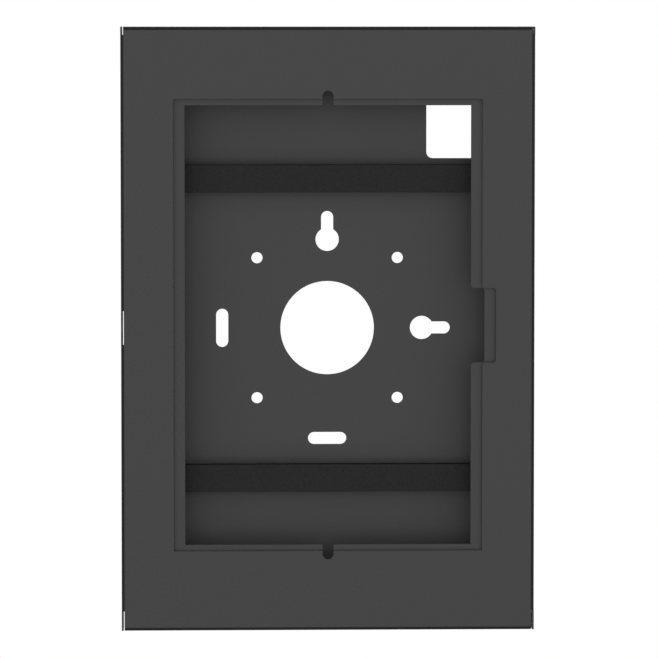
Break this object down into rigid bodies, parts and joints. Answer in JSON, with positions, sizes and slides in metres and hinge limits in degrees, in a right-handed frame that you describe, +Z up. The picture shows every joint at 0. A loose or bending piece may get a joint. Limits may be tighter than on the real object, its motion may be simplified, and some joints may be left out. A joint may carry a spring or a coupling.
{
  "type": "tablet wall mount",
  "caption": "Folded-steel enclosure that fixes a tablet to a wall: a shallow box with mounting holes, a hooked cover with a screen window, a mask plate and foam pads.",
  "frame": {"origin": "middle of the four VESA holes, on the face that lies on the wall", "axes": "+X to the right as seen from the front, +Y out of the back into the wall, +Z up; the front looks along -Y"},
  "size_m": [0.22, 0.0176, 0.3216],
  "materials": {
    "powder_coat": "fine matte texture, dark grey",
    "foam": "closed-cell foam, matte black",
    "zinc": "bright zinc plate",
    "black_steel": "blackened"
  },
  "bodies": {
    "root": {"back_box": "powder_coat", "front_cover": "powder_coat", "mask_plate": "powder_coat", "mask_nut_1": "zinc", "mask_nut_2": "zinc", "mask_nut_3": "zinc", "mask_nut_4": "zinc", "mask_nut_5": "zinc", "mask_nut_6": "zinc", "foam_strip_upper": "foam", "foam_strip_lower": "foam", "side_pad_left_upper": "foam", "side_pad_left_lower": "foam", "side_pad_right_upper": "foam", "side_pad_right_lower": "foam", "top_pad_left": "foam", "top_pad_right": "foam", "bottom_pad_left": "foam", "bottom_pad_right": "foam", "screen_strip_left": "foam", "screen_strip_right_upper": "foam", "screen_strip_right_lower": "foam", "screen_strip_top_left": "foam", "screen_strip_top_right": "foam", "screen_strip_bottom_left": "foam", "screen_strip_bottom_right": "foam", "cover_screw_left": "black_steel", "cover_screw_right": "black_steel", "press_nut_left": "zinc", "press_nut_right": "zinc"}
  },
  "joints": []
}
